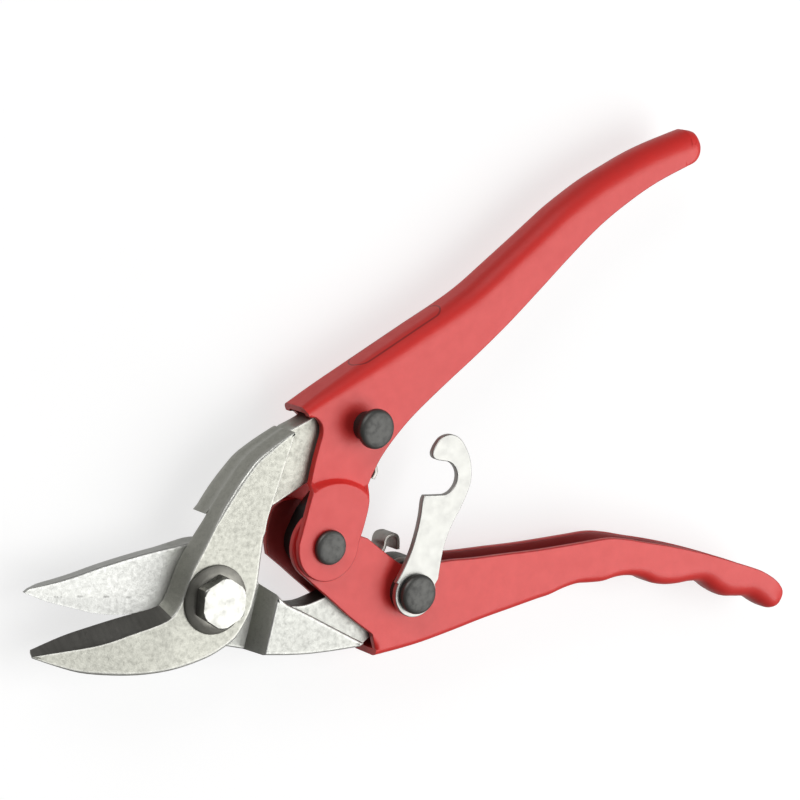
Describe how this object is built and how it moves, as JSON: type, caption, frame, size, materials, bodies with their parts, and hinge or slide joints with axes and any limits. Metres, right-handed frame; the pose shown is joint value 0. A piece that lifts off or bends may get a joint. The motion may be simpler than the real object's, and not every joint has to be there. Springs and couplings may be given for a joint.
{
  "type": "aviation snips",
  "caption": "Compound-leverage hand snips for sheet metal with folded-channel handles, crossing blades, a bolted main pivot, a return spring and a swinging latch.",
  "frame": {"origin": "on the main pivot axis, at the outer face of the pivot nut, the face the tool lies on", "axes": "+X from the main pivot towards the handles' tails, along the lower handle; +Y across, towards the upper handle; +Z along the main pivot axis, from the nut to the bolt head"},
  "size_m": [0.2682, 0.157, 0.0264],
  "materials": {
    "blade_steel": "satin, fine blasted cast surface",
    "zinc_bright": "bright zinc plate",
    "dark_spring_steel": "tempered dark",
    "black_oxide": "black oxide",
    "nickel_satin": "satin nickel plate",
    "red_coating": "glossy red powder coat"
  },
  "bodies": {
    "lower_handle": {"lower_handle": "red_coating", "centre_rivet": "black_oxide", "centre_bush": "black_oxide", "return_spring": "dark_spring_steel", "link_rivet": "black_oxide", "link_shims": "black_oxide", "latch_spacer": "black_oxide", "latch_washer": "nickel_satin"},
    "upper_handle": {"upper_handle": "red_coating", "catch_rivet": "black_oxide", "catch_collar": "black_oxide", "catch_shims": "black_oxide"},
    "upper_blade": {"upper_blade": "blade_steel", "pivot_bolt": "zinc_bright", "pivot_cone_washer": "dark_spring_steel", "pivot_washer": "dark_spring_steel", "pivot_nut": "zinc_bright"},
    "lower_blade": {"lower_blade": "blade_steel"},
    "latch": {"latch": "nickel_satin"}
  },
  "joints": [
    {"name": "handle_pivot", "type": "hinge", "parent": "lower_handle", "child": "upper_handle", "pos_m": [0.035, 0.014, 0.013], "axis": [0, 0, 1], "range_deg": [-39.5, 0], "stiffness_Nm_per_rad": 0.25, "springref_deg": 45.84, "deforming": ["return_spring"]},
    {"name": "link_pivot", "type": "hinge", "parent": "lower_handle", "child": "upper_blade", "pos_m": [0.065, 0, 0.013], "axis": [0, 0, 1], "range_deg": [-12.65, 0]},
    {"name": "main_pivot", "type": "hinge", "parent": "upper_blade", "child": "lower_blade", "pos_m": [0, 0, 0.013], "axis": [0, 0, 1], "range_deg": [-16.52, 0]},
    {"name": "latch_pivot", "type": "hinge", "parent": "lower_handle", "child": "latch", "pos_m": [0.065, 0, 0.0225], "axis": [0, 0, 1], "range_deg": [-75, 11]}
  ],
  "couplings": [
    {"joint": "link_pivot", "follows": "handle_pivot", "ratio": 0.32},
    {"joint": "main_pivot", "follows": "handle_pivot", "ratio": 0.418}
  ]
}
